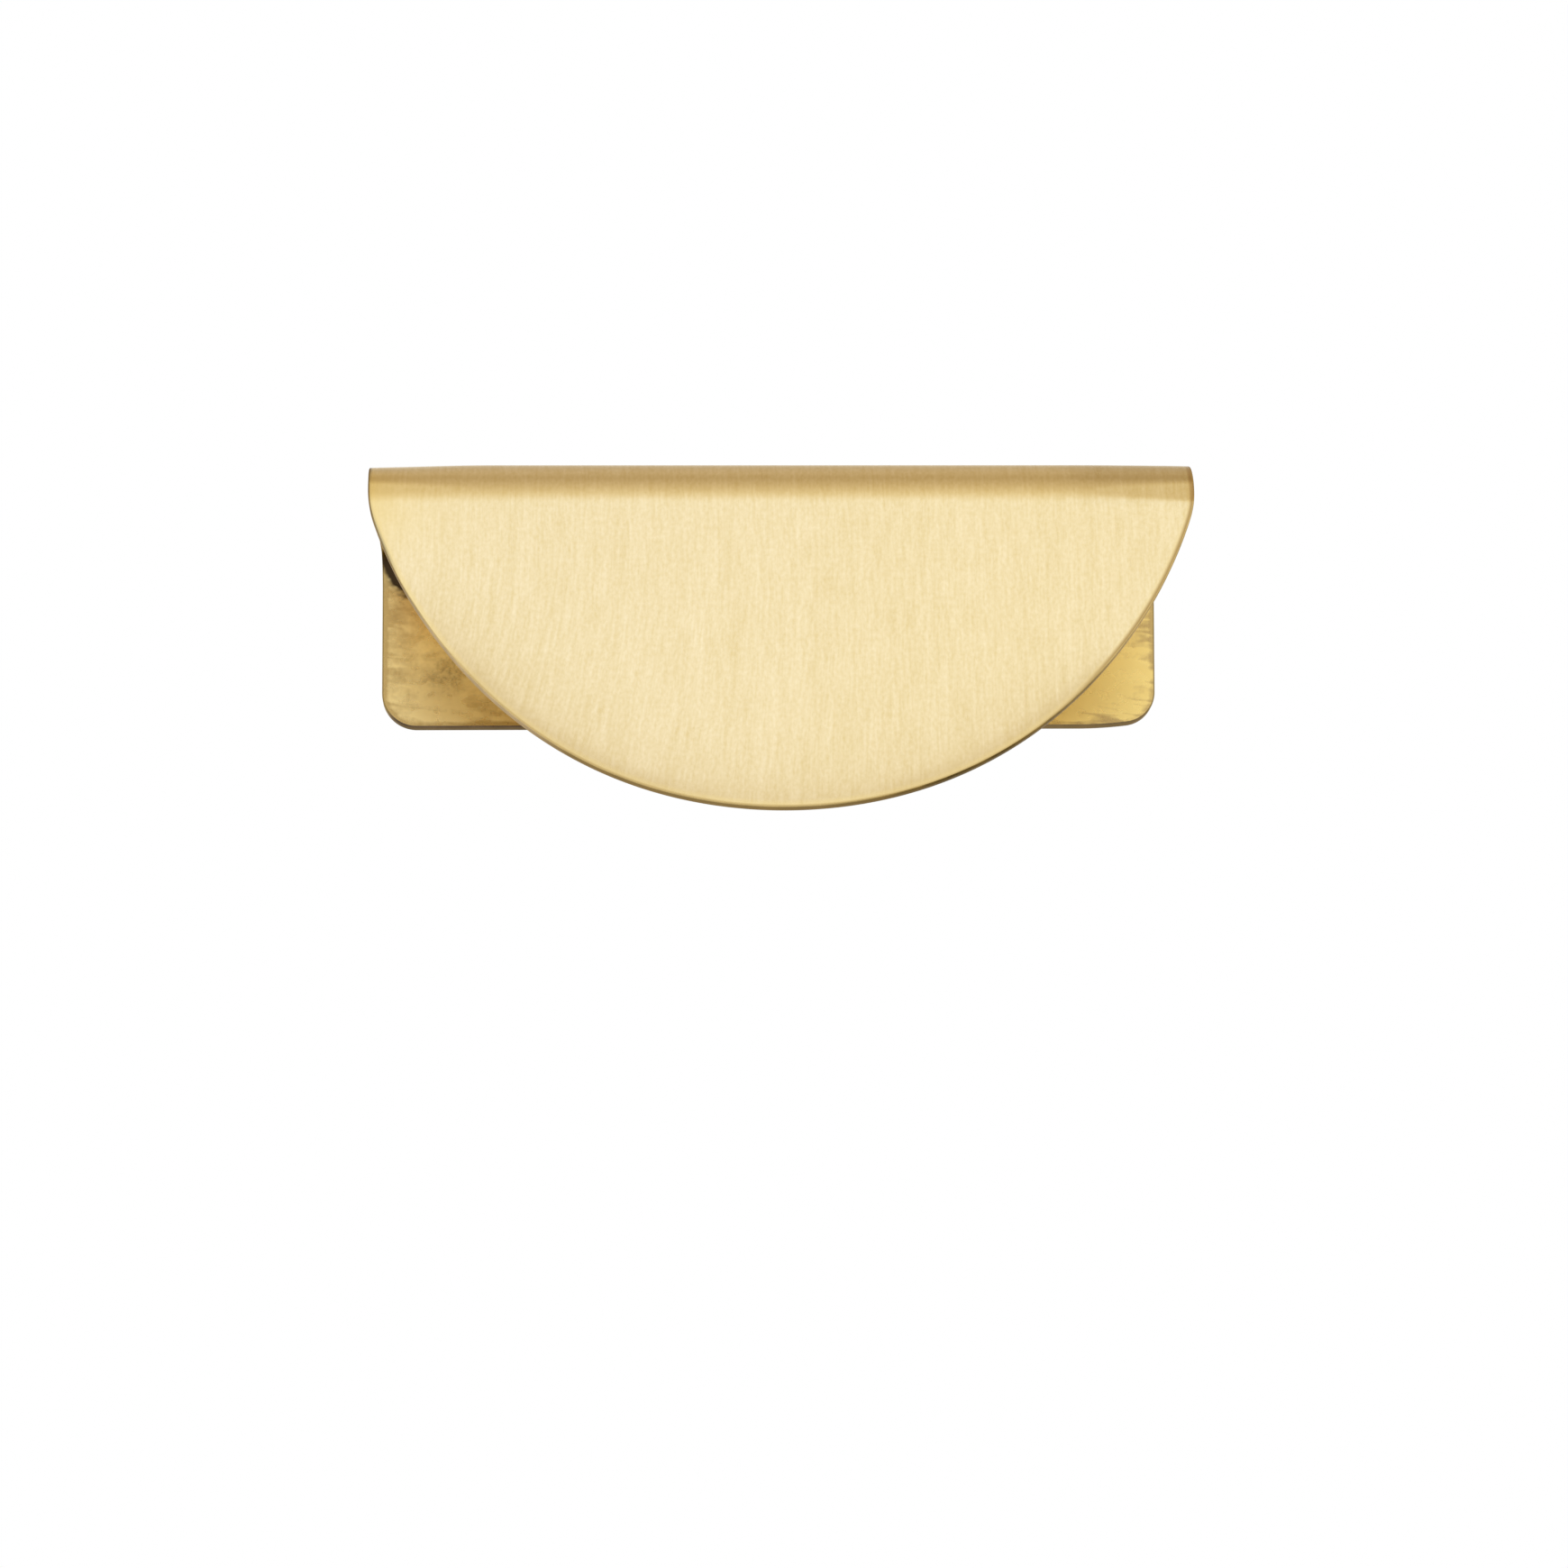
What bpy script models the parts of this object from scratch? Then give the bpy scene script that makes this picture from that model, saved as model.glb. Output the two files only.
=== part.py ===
# Lip pull: a brass sheet folded over the top edge of a drawer front, with a half-moon grip.
# Metres, +Z up, +X along the pull. The grip faces -Y and the leg stands behind the panel.
# The origin is on the leg's front face, midway between the two screw holes.

from math import atan2, cos, pi, radians, sin, sqrt, tan

import bmesh
import bpy

# Driving dimensions
WIDTH = 0.096
SHEET = 0.002
PANEL_GAP = 0.040
INNER_BEND_RADIUS = 0.004
MOON_DROP = 0.036
SHOULDER_RADIUS = 0.012
LEG_FLAT = 0.017
LEG_CORNER_RADIUS = 0.005
EDGE_ROUND = 0.00035

# Screw holes in the leg, countersunk from behind for a 3.5 mm screw
SCREW_SPACING = 0.064
SCREW_HOLE_DIAMETER = 0.004
SCREW_HEAD_DIAMETER = 0.007
COUNTERSINK_ANGLE = radians(90)

# Smoothness of the curved stretches
ARC_STEP = radians(1)
CORNER_STEPS = 10
BEND_STEPS = 18
HOLE_STEPS = 48
ROUND_STEPS = 3
CUTTER_REACH = 0.003
MERGE_DISTANCE = 1e-6

# Lengths along the middle of the sheet, counted from the screw line up and over to the grip
MID_BEND_RADIUS = INNER_BEND_RADIUS + SHEET / 2
BEND_LENGTH = MID_BEND_RADIUS * pi / 2
TOP_FLAT = PANEL_GAP - 2 * INNER_BEND_RADIUS
REAR_BEND_START = LEG_FLAT / 2
TOP_START = REAR_BEND_START + BEND_LENGTH
FRONT_BEND_START = TOP_START + TOP_FLAT
GRIP_START = FRONT_BEND_START + BEND_LENGTH
GRIP_END = GRIP_START + MOON_DROP

BRASS = (0.91, 0.76, 0.43, 1.0)


def clear_scene():
    for item in list(bpy.data.objects):
        bpy.data.objects.remove(item, do_unlink=True)


def new_collection(name):
    collection = bpy.data.collections.new(name)
    bpy.context.scene.collection.children.link(collection)
    return collection


def arc(centre, radius, start, end, steps):
    """Points on a circle from one angle to the other, both ends included."""
    turns = [start + (end - start) * i / steps for i in range(steps + 1)]
    return [(centre[0] + radius * cos(a), centre[1] + radius * sin(a)) for a in turns]


def half_outline():
    """The right half of the flat blank, from the middle of the leg's foot to the tip of the half moon."""
    side = WIDTH / 2
    foot = -LEG_FLAT / 2
    corner = (side - LEG_CORNER_RADIUS, foot + LEG_CORNER_RADIUS)
    # The half moon is a circle through both ends of the front bend and the tip
    moon_radius = (side ** 2 + MOON_DROP ** 2) / (2 * MOON_DROP)
    moon_centre = (0.0, GRIP_END - moon_radius)
    # The shoulder blends the straight side into the moon, touching both
    shoulder_reach = sqrt((moon_radius - SHOULDER_RADIUS) ** 2 - (side - SHOULDER_RADIUS) ** 2)
    shoulder = (side - SHOULDER_RADIUS, moon_centre[1] + shoulder_reach)
    shoulder_turn = atan2(shoulder_reach, shoulder[0])
    moon_steps = round((pi / 2 - shoulder_turn) / ARC_STEP)
    points = [(0.0, foot)]
    points += arc(corner, LEG_CORNER_RADIUS, -pi / 2, 0.0, CORNER_STEPS)
    points += arc(shoulder, SHOULDER_RADIUS, 0.0, shoulder_turn, CORNER_STEPS)
    points += arc(moon_centre, moon_radius, shoulder_turn, pi / 2, moon_steps)[1:]
    return points


def flat_blank():
    """The blank as a mesh in its own plane: X across, Y along the sheet, Z through its thickness."""
    right = half_outline()
    left = [(-x, y) for x, y in reversed(right[1:-1])]
    outline = right + left
    curve = bpy.data.curves.new("blank_outline", "CURVE")
    curve.dimensions = "2D"
    curve.fill_mode = "BOTH"
    curve.extrude = SHEET / 2
    spline = curve.splines.new("POLY")
    spline.points.add(len(outline) - 1)
    for point, (x, y) in zip(spline.points, outline):
        point.co = (x, y, 0.0, 1.0)
    spline.use_cyclic_u = True
    guide = bpy.data.objects.new("blank_outline", curve)
    bpy.context.scene.collection.objects.link(guide)
    bpy.context.view_layer.update()
    graph = bpy.context.evaluated_depsgraph_get()
    mesh = bpy.data.meshes.new_from_object(guide.evaluated_get(graph))
    bpy.data.objects.remove(guide)
    mesh.name = "folded_plate"
    return mesh


def score_bends(blank):
    """Cuts the blank across at even steps through both bends, so that it can follow them."""
    for start in (REAR_BEND_START, FRONT_BEND_START):
        for i in range(BEND_STEPS + 1):
            geometry = blank.verts[:] + blank.edges[:] + blank.faces[:]
            line = (0.0, start + BEND_LENGTH * i / BEND_STEPS, 0.0)
            bmesh.ops.bisect_plane(
                blank, geom=geometry, dist=MERGE_DISTANCE, plane_co=line, plane_no=(0.0, 1.0, 0.0)
            )


def folded(along, above):
    """The y and z where a point of the sheet lies after folding.

    along is its place on the blank, and above its height over the middle of the sheet, towards the outside.
    """
    reach = MID_BEND_RADIUS + above
    if along <= REAR_BEND_START:
        return SHEET / 2 + above, along
    if along <= TOP_START:
        turn = (along - REAR_BEND_START) / MID_BEND_RADIUS
        return -INNER_BEND_RADIUS + reach * cos(turn), REAR_BEND_START + reach * sin(turn)
    if along <= FRONT_BEND_START:
        return -INNER_BEND_RADIUS - (along - TOP_START), REAR_BEND_START + reach
    front_centre = -INNER_BEND_RADIUS - TOP_FLAT
    if along <= GRIP_START:
        turn = (along - FRONT_BEND_START) / MID_BEND_RADIUS
        return front_centre - reach * sin(turn), REAR_BEND_START + reach * cos(turn)
    return front_centre - reach, REAR_BEND_START - (along - GRIP_START)


def fold(blank):
    for vertex in blank.verts:
        y, z = folded(vertex.co.y, vertex.co.z)
        vertex.co.y = y
        vertex.co.z = z


def folded_plate(collection):
    mesh = flat_blank()
    blank = bmesh.new()
    blank.from_mesh(mesh)
    bmesh.ops.remove_doubles(blank, verts=blank.verts[:], dist=MERGE_DISTANCE)
    bmesh.ops.dissolve_limit(blank, angle_limit=ARC_STEP / 4, verts=blank.verts[:], edges=blank.edges[:])
    score_bends(blank)
    fold(blank)
    bmesh.ops.recalc_face_normals(blank, faces=blank.faces[:])
    blank.to_mesh(mesh)
    blank.free()
    plate = bpy.data.objects.new("folded_plate", mesh)
    collection.objects.link(plate)
    return plate


def ease_edges(plate):
    """Rounds the rim of the sheet all the way round."""
    ease = plate.modifiers.new("eased_edges", "BEVEL")
    ease.limit_method = "ANGLE"
    ease.angle_limit = radians(60)
    ease.width = EDGE_ROUND
    ease.segments = ROUND_STEPS


def screw_hole_cutter(name, x, collection):
    """A turned cutter along Y: a plain bore through the sheet that opens into a cone at the rear face."""
    bore = SCREW_HOLE_DIAMETER / 2
    head = SCREW_HEAD_DIAMETER / 2
    widening = tan(COUNTERSINK_ANGLE / 2)
    cone_start = SHEET - (head - bore) / widening
    end = SHEET + CUTTER_REACH
    profile = [
        (0.0, end),
        (head + CUTTER_REACH * widening, end),
        (bore, cone_start),
        (bore, -CUTTER_REACH),
        (0.0, -CUTTER_REACH),
    ]
    mesh = bpy.data.meshes.new(name)
    edges = [(i, i + 1) for i in range(len(profile) - 1)]
    mesh.from_pydata([(r, y, 0.0) for r, y in profile], edges, [])
    cutter = bpy.data.objects.new(name, mesh)
    cutter.location.x = x
    cutter.hide_render = True
    cutter.display_type = "WIRE"
    turn = cutter.modifiers.new("turned", "SCREW")
    turn.axis = "Y"
    turn.steps = HOLE_STEPS
    turn.render_steps = HOLE_STEPS
    turn.use_merge_vertices = True
    turn.merge_threshold = MERGE_DISTANCE
    collection.objects.link(cutter)
    return cutter


def cut_screw_holes(plate, cutters):
    for side, x in (("left", -SCREW_SPACING / 2), ("right", SCREW_SPACING / 2)):
        cut = plate.modifiers.new(f"{side}_screw_hole", "BOOLEAN")
        cut.operation = "DIFFERENCE"
        cut.object = screw_hole_cutter(f"{side}_screw_hole_cutter", x, cutters)


def keep_flats_flat(plate):
    """Turns the shading of the rim and the holes to that of the flats beside them; the shape stays."""
    shading = plate.modifiers.new("flat_shading", "WEIGHTED_NORMAL")
    shading.keep_sharp = True


def satin_brass():
    material = bpy.data.materials.new("satin_brass")
    material.use_nodes = True
    shader = material.node_tree.nodes["Principled BSDF"]
    shader.inputs["Base Color"].default_value = BRASS
    shader.inputs["Metallic"].default_value = 1.0
    shader.inputs["Roughness"].default_value = 0.3
    return material


def main():
    clear_scene()
    parts = new_collection("lip_pull")
    cutters = new_collection("cutters")
    plate = folded_plate(parts)
    ease_edges(plate)
    cut_screw_holes(plate, cutters)
    plate.data.materials.append(satin_brass())
    plate.data.shade_smooth()
    keep_flats_flat(plate)


main()
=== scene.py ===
# The lip pull dressed as in the photograph: one folded brass sheet, brushed up and down, with a
# half-moon grip. Metres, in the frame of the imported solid: +Z up, the grip faces -Y, the leg's front
# face is at y = 0.
# The sheet is laid out flat first. "Across" is a point's place from left to right, "along" its place
# from the leg's screw line up over both bends to the grip's tip, and "above" its height over the
# middle of the sheet, towards the outer face: the grip's front, the top and the back of the leg.

from math import atan2, ceil, cos, pi, radians, sin, sqrt

import bpy
import numpy as np
from mathutils import Matrix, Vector
from mathutils.geometry import delaunay_2d_cdt


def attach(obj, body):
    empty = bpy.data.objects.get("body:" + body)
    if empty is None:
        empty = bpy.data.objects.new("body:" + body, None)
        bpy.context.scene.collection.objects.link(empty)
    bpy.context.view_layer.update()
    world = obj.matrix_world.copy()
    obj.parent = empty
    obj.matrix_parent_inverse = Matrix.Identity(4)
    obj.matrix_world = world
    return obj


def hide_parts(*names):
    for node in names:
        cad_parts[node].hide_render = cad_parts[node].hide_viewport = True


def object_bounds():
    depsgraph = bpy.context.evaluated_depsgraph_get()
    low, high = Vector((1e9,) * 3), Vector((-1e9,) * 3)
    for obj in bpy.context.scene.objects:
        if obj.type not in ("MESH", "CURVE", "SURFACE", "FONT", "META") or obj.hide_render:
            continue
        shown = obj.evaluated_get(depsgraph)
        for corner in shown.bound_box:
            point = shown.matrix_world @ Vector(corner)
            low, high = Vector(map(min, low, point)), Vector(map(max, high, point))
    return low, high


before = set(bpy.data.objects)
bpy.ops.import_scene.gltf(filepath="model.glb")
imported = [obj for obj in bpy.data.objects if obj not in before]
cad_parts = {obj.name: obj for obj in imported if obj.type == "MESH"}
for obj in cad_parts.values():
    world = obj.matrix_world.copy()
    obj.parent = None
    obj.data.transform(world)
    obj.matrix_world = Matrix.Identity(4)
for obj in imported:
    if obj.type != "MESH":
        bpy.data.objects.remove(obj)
cad_low, cad_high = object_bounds()

MM = 0.001

# The folded sheet, from the solid's box
NODE = "folded_plate"
SIDE = cad_high.x
SHEET = cad_high.y
PANEL_GAP = -cad_low.y - SHEET
BEND_RADIUS = 4 * MM
LEG_TOP = cad_high.z - SHEET - BEND_RADIUS
FOOT_DROP = 0.15 * MM
LEG_FOOT = -LEG_TOP - FOOT_DROP
GRIP_DROP = LEG_TOP - cad_low.z

# The sheet's outline and edge
SHOULDER_RADIUS = 12 * MM
LEFT_CORNER_RADIUS = 4.3 * MM
RIGHT_CORNER_RADIUS = 4.0 * MM

# The leg's foot rises a little before its right corner, and its right side leans in a little
FOOT_RISE_RADIUS = 50 * MM
FOOT_RISE_TURN = radians(7)
RIGHT_SIDE_LEAN = 0.25 * MM

# The half moon is a little fuller than round on both sides of its tip
FULLNESS = 0.2 * MM
FULL_TURN = radians(56)

# How round the sheet's edge is, and how deep and how far in the buffing beside it goes
EDGE_ROUND = 0.18 * MM
EDGE_BUFFING = 0.06 * MM
EDGE_BUFFING_REACH = 1.5 * MM

# The press left a small flat low in each bend's ends, deepest at the very end, and let the crest
# droop there. On the flat top both fade out over a share of the way to its middle.
FLAT_TURN = radians(14.5)
FLAT_DEPTH = 0.145 * MM
FLAT_LENGTH = 12.5 * MM
LEFT_FLAT_FADE = 4 * MM
LEFT_DROOP = 0.24 * MM
RIGHT_DROOP = 0.08 * MM
DROOP_LENGTH = 14 * MM
DROOP_TURN = (radians(35), radians(75))
TOP_FADE = 0.5

# The screw holes in the leg, countersunk in the outer face
HOLE_PLACES = (-32 * MM, 32 * MM)
HOLE_RADIUS = 2 * MM
HEAD_RADIUS = 3.5 * MM
HOLE_BREAK = 0.12 * MM

# Lengths along the middle of the sheet
OUTER_RADIUS = BEND_RADIUS + SHEET
MID_RADIUS = BEND_RADIUS + SHEET / 2
BEND_LENGTH = MID_RADIUS * pi / 2
TOP_FLAT = PANEL_GAP - 2 * BEND_RADIUS
TOP_START = LEG_TOP + BEND_LENGTH
FRONT_BEND = TOP_START + TOP_FLAT
GRIP_START = FRONT_BEND + BEND_LENGTH
GRIP_END = GRIP_START + GRIP_DROP

# How fine the mesh is
OUTLINE_STEP = 0.4 * MM
SIDE_STEP = 0.25 * MM
FLAT_STEP = 0.9 * MM
BEND_STEPS = 32
ROUND_STEPS = 6
BREAK_STEPS = 3
CONE_STEPS = 2
HOLE_STEPS = 64
FACE_INSETS = (0.22 * MM, 0.34 * MM, 0.5 * MM, 0.75 * MM, 1.15 * MM, 1.7 * MM)
CLEAR_OF_LOOPS = 0.3 * MM
MERGE = 1e-5

# Material slots of the piece
OUTER, INNER, EDGE = range(3)

# Where the flat sheet lies on the picture that a finish can be baked to, as shares of its height. The
# edge lies there in strips, and each bore as a ring inside its hole, most of it for the straight wall.
OUTER_BAND = (0.005, 0.465)
INNER_BAND = (0.475, 0.935)
EDGE_BAND = (0.945, 0.995)
EDGE_STRIPS = 4
STRIP_GAP = 0.05
PICTURE_MARGIN = 0.005
BORE_PICTURE_RADIUS = 1 * MM
BORE_PICTURE_SHARE = 0.7

# The camera, found from the pull's own edges in the photograph
CAMERA_PLACE = (-0.02302, -0.58333, -0.13844)
CAMERA_PAN = radians(2.409)
CAMERA_TILT = radians(11.849)
CAMERA_ROLL = radians(-0.661)
FOCAL_PIXELS = 5367.0
PHOTO_PIXELS = 1740
SENSOR = 36.0

# The studio
FLOOR_LEVEL = -0.20
FLOOR_SIDE = 12.0
FLOOR_COLOUR = (0.80, 0.80, 0.79)
FLOOR_ROUGHNESS = 0.9
FLOOR_SPECULAR = 0.1
FLOOR_GLOW = 0.22
WORLD_LIGHT = 0.7
CEILING_RADIUS = 0.90
CEILING_WIDTH = 3.0
CEILING_STEPS = 60
# The ceiling's light, by how far it has risen from level in front of the pull, in degrees
CEILING_TONES = (
    (22, (1.00, 0.98, 0.93)),
    (36, (0.84, 0.755, 0.572)),
    (50, (0.71, 0.60, 0.415)),
    (64, (0.60, 0.49, 0.335)),
    (80, (0.50, 0.392, 0.248)),
    (97, (0.59, 0.48, 0.34)),
    (126, (0.55, 0.465, 0.37)),
    (150, (0.70, 0.66, 0.61)),
)
KEY_PLACE = (-0.35, -0.30, 0.55)
KEY_SIDE = 0.5
KEY_POWER = 1.5

# Metals, as the colour that they give white light
WHITE = (1.0, 1.0, 1.0)
PALE_BRASS = (0.998, 0.862, 0.574)
DEEP_BRASS = (0.850, 0.690, 0.366)
GOLDEN_BRASS = (0.93, 0.74, 0.34)
INNER_BRASS = (0.98, 0.77, 0.35)
YELLOW_BRASS = (0.96, 0.73, 0.26)
BACK_BRASS = (1.0, 0.85, 0.52)
DARK_BRASS = (0.58, 0.41, 0.16)
BROWN_BRASS = (0.62, 0.43, 0.20)
OLIVE_BRASS = (0.42, 0.35, 0.20)
SHADED_EDGE_BRASS = (0.485, 0.325, 0.125)
# The cut's colours: its own dark colour also carries painted shade, the pale one is a painted reflection
# of light, and the inner and foot ones are painted shade
CUT_BRASS = (0.28, 0.19, 0.075)
PALE_CUT = (0.58, 0.45, 0.28)
INNER_CUT = (0.34, 0.24, 0.09)
FOOT_CUT = (0.29, 0.20, 0.13)
SMOKE = (0.22, 0.14, 0.055)
# Near-black for the rear bend's hollow: partly patina, partly painted shade
TARNISH_AND_SHADE = (0.05, 0.032, 0.016)

# What the duller metals still reflect at a grazing look, which would otherwise be white
INNER_GRAZE = (0.80, 0.62, 0.36)
CUT_GRAZE = (0.78, 0.65, 0.46)

# What is left of the light where a metal is more golden, and where painted shade makes it darker or
# browner: by the grip's lower edge, at the front bend's right end and on the cut at the half moon's lower
# right
RIGHT_TONE = (1.0, 0.99, 0.945)
RIM_SHADE = (0.85, 0.80, 0.72)
SHADED_END_TONE = (0.88, 0.87, 0.85)
BROWN_TONE = (1.0, 0.87, 0.58)

# From here on places and reaches are millimetres on the flat sheet, and depths are metres. A span
# of two places says where a change begins and where it is complete.

# The parts of the half moon's edge and of the front bend's
UPPER_RIGHT_ACROSS = (28, 38)
UPPER_RIGHT_ALONG = (50, 56)
UPPER_RIGHT_FADE = 9
FACE_UPPER_RIGHT_END = 84
CUT_UPPER_RIGHT_END = 80
LOWER_LEFT_ACROSS = (-24, -32)
LOWER_LEFT_ALONG = (64, 71)
BOTTOM_ALONG = (72, 77)
SIDES_ACROSS = (5, 16)
LEFT_SIDE_ACROSS = (-38, -44)
LEFT_SIDE_TOP = (48, 50)
LEFT_SIDE_BOTTOM = (66, 60)

# Lines of another metal along a face's edge: the distances from the edge over which each fades, and
# its share. All but the golden line are painted: the olive one a reflection, the others shade.
GOLDEN_LINE = ((0.3, 1.0), 0.6)
SHADED_EDGE_LINE = ((0.22, 0.70), 1.0)
BOTTOM_LINE = ((0.20, 0.42), 0.75)
OLIVE_LINE = ((0.20, 0.50), 0.9)
SIDES_LINE = ((0.3, 2.4), 0.24)
INNER_LINE = ((0.25, 0.95), 0.85)

# The outer face's streaks and grain, as waves to a millimetre across and along the sheet, their
# weights, and the share of pale metal that they move up and down
WIDE_STREAKS = (0.35, 0.02)
MIDDLE_STREAKS = (1.1, 0.09)
FINE_STREAKS = (2.5, 0.28)
GRAIN = (2.6, 1.8)
STREAK_WEIGHTS = (0.45, 0.6, 1.1, 0.92)
STREAK_ROUGHNESS = 0.6
PALE_SHARE = 0.5

# The brush strokes fan out a little towards the grip's lower left
FAN_ACROSS = (20, -45)
FAN_SLOPE = 0.20
FAN_ALONG = (62, 102)
FAN_LENGTH = 40

# Where the outer face's tones lie, with the painted shade by the grip's lower edge and at the front
# bend's right end
RIGHT_TONE_ACROSS = (-35, 35)
RIM_REACH = 3.5
RIM_SHADE_SLANT = -0.1
RIM_SHADE_ALONG = (66, 80)
BROWN_END_ACROSS = (47.2, 47.6)
BROWN_END_ALONG = (57, 55)
BROWN_END_SHARE = 0.7
SHADED_END_ACROSS = (30, 38)
SHADED_END_FLAT = (54.2, 53.2)
SHADED_END_BELOW_FLAT = 0.4
SHADED_END_BOTTOM = (57, 55.5)
SHADED_END_TOP = (46, 50)
WARM_END_REACH = 5.0
WARM_END_TOP = (51, 54)
WARM_END_BOTTOM = (66, 57)
WARM_END_SHARE = 0.8

# The outer face's gloss: its roughness, what the middle and fine streaks add to that, their weights
# in its relief and how deep that is, and how far the brush spreads a highlight
BRUSHED_ROUGHNESS = 0.26
BRUSHED_GLOSS = (-0.05, -0.03)
BRUSHED_RELIEF = (0.6, 0.4)
BRUSHED_DEPTH = 0.003 * MM
BRUSHED_SPREAD = 0.6

# The inner face's blotches and specks, as waves to a millimetre, and their weights
BLOTCHES = (0.5, 0.6)
SPECKS = (2.0, 1.8)
MOTTLING = (0.5, 0.25)

# Its chatter marks, which lean a little and are strongest by the edge, more so on the right
CHATTER = (0.25, 1.0)
CHATTER_SLANT = 0.12
CHATTER_WAVE = 0.6
CHATTER_MIDDLE = 0.53
CHATTER_ACROSS = (-20, 20)
CHATTER_AT_EDGE = (0.8, 1.7)
CHATTER_RIM = (1.0, 5.0)
CHATTER_INSIDE = 0.15

# Its tone, and how much of its mottling and of the painted shade near the rear bend the grip's back still
# has
LEG_TO_GRIP = (20, 56)
GRIP_MOTTLING = 0.5
GRIP_BEND_SHADE = 0.2
LEFT_END_ACROSS = (-47.5, -39)
LEFT_END_TONES = (0.80, 1.10)
# The painted light on the foot
PAINTED_FOOT_LIGHT_ALONG = (-2, -7)
PAINTED_FOOT_LIGHT = 0.05
# The painted shade on the foot beside the half moon
FOOT_SHADE_LEFT = (-42, -34)
FOOT_SHADE_RIGHT = (-10, -20)
FOOT_SHADE_ALONG = (1, -6)
FOOT_SHADE_TONE = 0.30
# The painted shade on the leg towards its bend
NEAR_BEND = (-4, 6.5)
BEND_SHADE_ACROSS = (35, -30)
BEND_SHADE = (0.29, 0.17)

# How much browner a duller tone is, where the leg is yellower, and where the metal turns to the grip's
BROWNING = 2.0
YELLOW_ACROSS = (-20, 20)
BACK_ALONG = (40, 56)

# The smudge on the inner face: its middle, how ragged it is, how it fades, its share, and how much
# of it is left in the gaps between the specks
SMUDGE_PLACE = (-40.0, -1.5)
SMUDGE_RAGGED = 7.0
SMUDGE_SPAN = (-1.0, 5.0)
SMUDGE_SHARE = 0.65
SMUDGE_GAPS = (0.35, 0.70)
SMUDGE_IN_GAPS = 0.5

# The dark band inside the rear bend, partly patina where no polish got and partly painted shade: how far
# below the bend its border lies, how far the border climbs at the sheet's ends and over what reach, how
# ragged it is, how soft at the ends and further in, how far before and past the flat top's start it fades
# out, and how high in the cut edge
TARNISH_AND_SHADE_BELOW_BEND = 0.85
TARNISH_AND_SHADE_CLIMB = 5.0
TARNISH_AND_SHADE_CLIMB_REACH = 1.1
TARNISH_AND_SHADE_RAGGED = 3.0
TARNISH_AND_SHADE_SOFT_ENDS = (0.0, 2.0)
TARNISH_AND_SHADE_SOFTNESS = (1.6, 0.5)
TARNISH_AND_SHADE_END = (1, 3)
TARNISH_AND_SHADE_ABOVE = (0.5, -0.5)

# The inner face's gloss, as for the outer one, from its blotches, specks and chatter marks
MOTTLED_ROUGHNESS = 0.28
MOTTLED_GLOSS = 0.12
MOTTLED_RELIEF = (0.5, 0.1, 0.3)
MOTTLED_DEPTH = 0.014 * MM
MOTTLED_SPREAD = 0.3

# The cut edge: its grit and blotches, where it rounds over to the faces, its darker stretches of painted
# shade, and its gloss
GRIT = (4.0, 4.0)
GRIT_ROUGHNESS = 0.6
CUT_BLOTCHES = (0.3, 0.3)
CUT_MOTTLING = (0.3, 0.6)
OUTER_ROUND = (0.84, 0.96)
INNER_ROUND = (-0.50, -0.90)
BROWN_ROUND = 0.8
LOWER_RIGHT_ACROSS = (2, 20)
LOWER_RIGHT_ALONG = (72, 80)
LOWER_RIGHT_END = (33, 26)
LOWER_RIGHT_PAST_END = 0.35
LOWER_RIGHT_DARK = 0.65
FOOT_ALONG = (-6, -8)
FOOT_ACROSS = (0, -30)
FOOT_STRENGTHS = (0.6, 1.2)
FOOT_CUT_SHARE = 0.8
FOOT_DARK = 0.45
CUT_ROUGHNESS = 0.38
CUT_GLOSS = 0.2
ROUND_POLISH = 0.14
CUT_DEPTH = 0.006 * MM

# What noise is on average, and the sockets of a colour mix: its two colours and its result
NOISE_MIDDLE = 0.5
MIX_COLOURS = (6, 7)
MIX_RESULT = 2


# The flat sheet's outline


def arc(centre, radius, start, end, step):
    """Points on a circle and their outward directions, without the last point."""
    steps = max(2, round(radius * abs(end - start) / step))
    turns = np.linspace(start, end, steps + 1)[:-1]
    outward = np.stack([np.cos(turns), np.sin(turns)], axis=1)
    return np.array(centre) + radius * outward, outward


def line(start, end, step):
    """The same on a straight run with the sheet on its left."""
    start, end = np.array(start), np.array(end)
    run = end - start
    length = np.linalg.norm(run)
    steps = max(2, round(length / step))
    share = np.linspace(0, 1, steps + 1)[:-1, None]
    outward = np.array([run[1], -run[0]]) / length
    return start + share * run, np.repeat(outward[None], steps, axis=0)


def moon_arc(centre, radius, start, end):
    """The half moon's long arc, a little fuller than round. That turns its outward directions by less
    than a degree, so they are left as they were."""
    points, outward = arc(centre, radius, start, end, OUTLINE_STEP)
    from_tip = np.arctan2(outward[:, 0], outward[:, 1])
    share = np.clip(np.abs(from_tip) / FULL_TURN, 0, 1)
    return points + outward * FULLNESS * np.sin(pi * share[:, None]) ** 2, outward


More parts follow.
